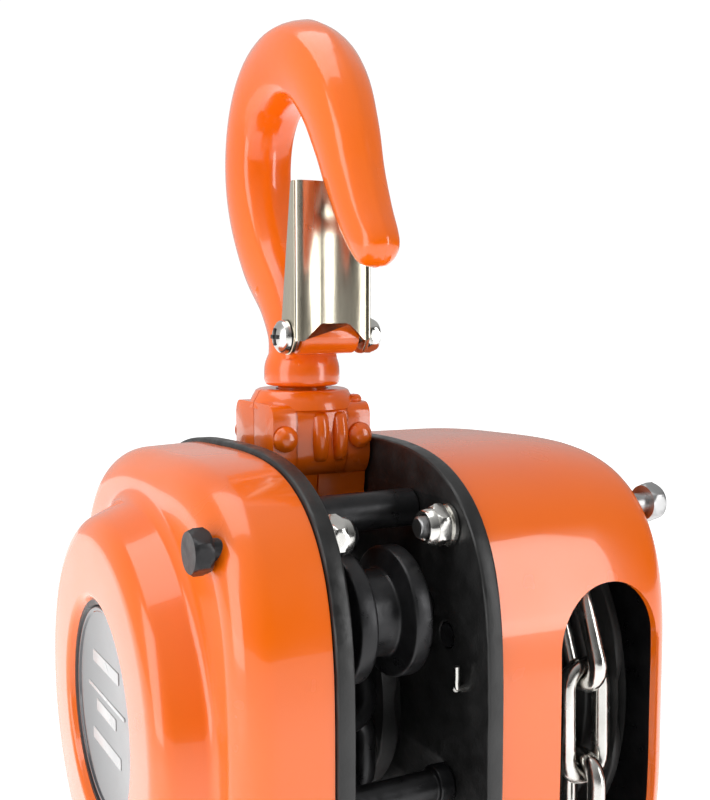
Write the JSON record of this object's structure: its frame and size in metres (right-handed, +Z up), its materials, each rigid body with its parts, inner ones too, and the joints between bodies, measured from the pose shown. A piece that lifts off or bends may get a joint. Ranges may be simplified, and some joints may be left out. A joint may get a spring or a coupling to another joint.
{
  "type": "hand chain hoist",
  "caption": "Hand chain hoist with a latched swivel top hook, geared body between two covers, load chain with bottom hook and hand chain loop.",
  "frame": {"origin": "the top hook's saddle, on its swivel axis", "axes": "+Z up, +X along the sheave's axis from the gear cover to the hand wheel cover, -Y the hooks' open side and the front"},
  "size_m": [0.1439, 0.1466, 0.41],
  "materials": {
    "orange_enamel": "glossy",
    "black_plate": "satin",
    "black_oxide": "black oxide",
    "latch_steel": "zinc plated",
    "cast_iron": "as cast",
    "brake_lining": "matt",
    "nameplate": "glossy",
    "zinc": "bright zinc",
    "machined_steel": "machined"
  },
  "bodies": {
    "top_hook": {"top_hook": "orange_enamel", "top_latch_bolt": "zinc", "top_latch_nut": "zinc", "top_latch_spring": "machined_steel"},
    "top_latch": {"top_latch": "latch_steel"},
    "top_yoke": {"top_yoke_front": "orange_enamel", "top_yoke_rear": "orange_enamel", "top_yoke_rivet_left": "orange_enamel", "top_yoke_rivet_right": "orange_enamel"},
    "frame": {"gear_side_plate": "black_plate", "wheel_side_plate": "black_plate", "hook_pin": "black_oxide", "stay_upper_front": "black_oxide", "stay_upper_rear": "black_oxide", "stay_lower_front": "black_oxide", "stay_lower_rear": "black_oxide", "gear_cover_bolt_upper_front": "black_oxide", "gear_cover_bolt_upper_rear": "black_oxide", "gear_cover_bolt_lower": "black_oxide", "gear_cover_nut_upper_front": "zinc", "gear_cover_nut_upper_rear": "zinc", "gear_cover_nut_lower": "zinc", "wheel_cover_bolt_upper_front": "black_oxide", "wheel_cover_bolt_upper_rear": "black_oxide", "wheel_cover_bolt_lower": "black_oxide", "wheel_cover_nut_upper_front": "zinc", "wheel_cover_nut_upper_rear": "zinc", "wheel_cover_nut_lower": "zinc", "gear_cover": "orange_enamel", "nameplate": "nameplate", "hand_wheel_cover": "orange_enamel", "guide_roller_pin_front": "black_oxide", "guide_roller_pin_rear": "black_oxide", "sheave_bearing_gear_side": "machined_steel", "sheave_bearing_wheel_side": "machined_steel", "ratchet_disc": "machined_steel", "pawl_pin": "zinc", "chain_anchor_pin": "black_oxide", "load_chain": "black_oxide", "hand_chain": "zinc"},
    "guide_roller_front": {"guide_roller_front": "black_oxide"},
    "guide_roller_rear": {"guide_roller_rear": "black_oxide"},
    "load_sheave": {"load_sheave": "cast_iron", "load_gear": "machined_steel"},
    "disc_gear_front": {"disc_gear_front": "machined_steel"},
    "disc_gear_rear": {"disc_gear_rear": "machined_steel"},
    "hand_wheel": {"hand_wheel": "cast_iron", "hand_wheel_nut": "zinc", "drive_shaft": "machined_steel", "brake_hub": "machined_steel", "friction_disc_inner": "brake_lining", "friction_disc_outer": "brake_lining"},
    "pawl": {"pawl": "machined_steel"},
    "fall": {"load_chain_fall": "black_oxide", "bottom_yoke_pin": "black_oxide"},
    "bottom_yoke": {"bottom_yoke_front": "orange_enamel", "bottom_yoke_rear": "orange_enamel"},
    "bottom_hook": {"bottom_hook": "orange_enamel", "bottom_latch_bolt": "zinc"},
    "bottom_latch": {"bottom_latch": "latch_steel"}
  },
  "joints": [
    {"name": "top_latch_hinge", "type": "hinge", "parent": "top_hook", "child": "top_latch", "pos_m": [0, -0.014, -0.0645], "axis": [-1, 0, 0], "range_deg": [0, 38], "stiffness_Nm_per_rad": 0.04, "springref_deg": -34.38},
    {"name": "bottom_latch_hinge", "type": "hinge", "parent": "bottom_hook", "child": "bottom_latch", "pos_m": [-0.0025, -0.0433, -0.3035], "axis": [1, 0, 0], "range_deg": [0, 38], "stiffness_Nm_per_rad": 0.04, "springref_deg": -34.38},
    {"name": "top_swivel", "type": "hinge", "parent": "top_hook", "child": "top_yoke", "pos_m": [0, 0, -0.113], "axis": [0, 0, 1], "continuous": true},
    {"name": "top_pivot", "type": "hinge", "parent": "top_yoke", "child": "frame", "pos_m": [-0.0025, 0, -0.113], "axis": [1, 0, 0], "range_deg": [-35, 35]},
    {"name": "front_roller_turn", "type": "hinge", "parent": "frame", "child": "guide_roller_front", "pos_m": [-0.0025, -0.0421, -0.1335], "axis": [1, 0, 0], "continuous": true},
    {"name": "rear_roller_turn", "type": "hinge", "parent": "frame", "child": "guide_roller_rear", "pos_m": [-0.0025, 0.0421, -0.1335], "axis": [1, 0, 0], "continuous": true},
    {"name": "hand_wheel_turn", "type": "hinge", "parent": "frame", "child": "hand_wheel", "pos_m": [0.0565, 0, -0.163], "axis": [1, 0, 0], "range_deg": [0, 1080]},
    {"name": "front_disc_gear_turn", "type": "hinge", "parent": "frame", "child": "disc_gear_front", "pos_m": [-0.0325, -0.034, -0.163], "axis": [1, 0, 0], "range_deg": [-360, 0]},
    {"name": "rear_disc_gear_turn", "type": "hinge", "parent": "frame", "child": "disc_gear_rear", "pos_m": [-0.0325, 0.034, -0.163], "axis": [1, 0, 0], "range_deg": [-360, 0]},
    {"name": "load_sheave_turn", "type": "hinge", "parent": "frame", "child": "load_sheave", "pos_m": [-0.0025, 0, -0.163], "axis": [1, 0, 0], "range_deg": [0, 120]},
    {"name": "pawl_hinge", "type": "hinge", "parent": "frame", "child": "pawl", "pos_m": [0.0305, -0.052, -0.139], "axis": [1, 0, 0], "range_deg": [0, 20], "stiffness_Nm_per_rad": 0.02, "springref_deg": -28.65},
    {"name": "load_fall_slide", "type": "slide", "parent": "frame", "child": "fall", "axis": [0, 0, -1], "range_m": [0, 0.0615]},
    {"name": "bottom_pivot", "type": "hinge", "parent": "fall", "child": "bottom_yoke", "pos_m": [-0.0025, -0.0293, -0.255], "axis": [1, 0, 0], "range_deg": [-30, 30]},
    {"name": "bottom_swivel", "type": "hinge", "parent": "bottom_yoke", "child": "bottom_hook", "pos_m": [-0.0025, -0.0293, -0.285], "axis": [0, 0, 1], "continuous": true}
  ],
  "couplings": [
    {"joint": "front_disc_gear_turn", "follows": "hand_wheel_turn", "ratio": -0.33333},
    {"joint": "rear_disc_gear_turn", "follows": "hand_wheel_turn", "ratio": -0.33333},
    {"joint": "load_sheave_turn", "follows": "hand_wheel_turn", "ratio": 0.11111},
    {"joint": "load_fall_slide", "follows": "hand_wheel_turn", "m_per_rad": 0.0032556}
  ]
}
